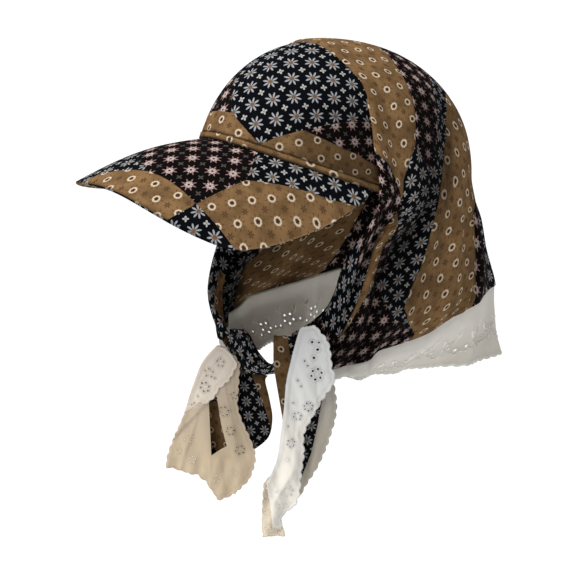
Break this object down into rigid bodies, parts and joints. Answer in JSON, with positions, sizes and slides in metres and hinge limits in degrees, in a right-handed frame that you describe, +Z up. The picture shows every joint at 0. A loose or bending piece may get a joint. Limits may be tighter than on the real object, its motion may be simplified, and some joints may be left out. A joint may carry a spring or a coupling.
{
  "type": "peaked headscarf cap",
  "caption": "cotton patchwork cap with a stiff front peak and a neck-covering headscarf tied under the chin, trimmed with eyelet lace",
  "frame": {"origin": "on the wearer's head axis, level with the front of the crown's lower edge", "axes": "+Z up along the wearer's head, the face looks towards -Y, the wearer's left is at +X"},
  "size_m": [0.1998, 0.3819, 0.3907],
  "materials": {
    "patchwork_cotton": "matt printed cotton in navy, burgundy and tan patches",
    "white_lace": "matt white cotton eyelet lace",
    "cream_lace": "matt cream cotton eyelet lace"
  },
  "bodies": {
    "root": {"peak": "patchwork_cotton", "crown": "patchwork_cotton", "crown_band": "patchwork_cotton", "scarf": "patchwork_cotton", "hem_lace": "white_lace", "knot": "patchwork_cotton", "tail_left": "patchwork_cotton", "tail_right": "patchwork_cotton", "tail_lace_left": "cream_lace", "tail_lace_left_back": "cream_lace", "tail_lace_right": "cream_lace"}
  },
  "joints": []
}
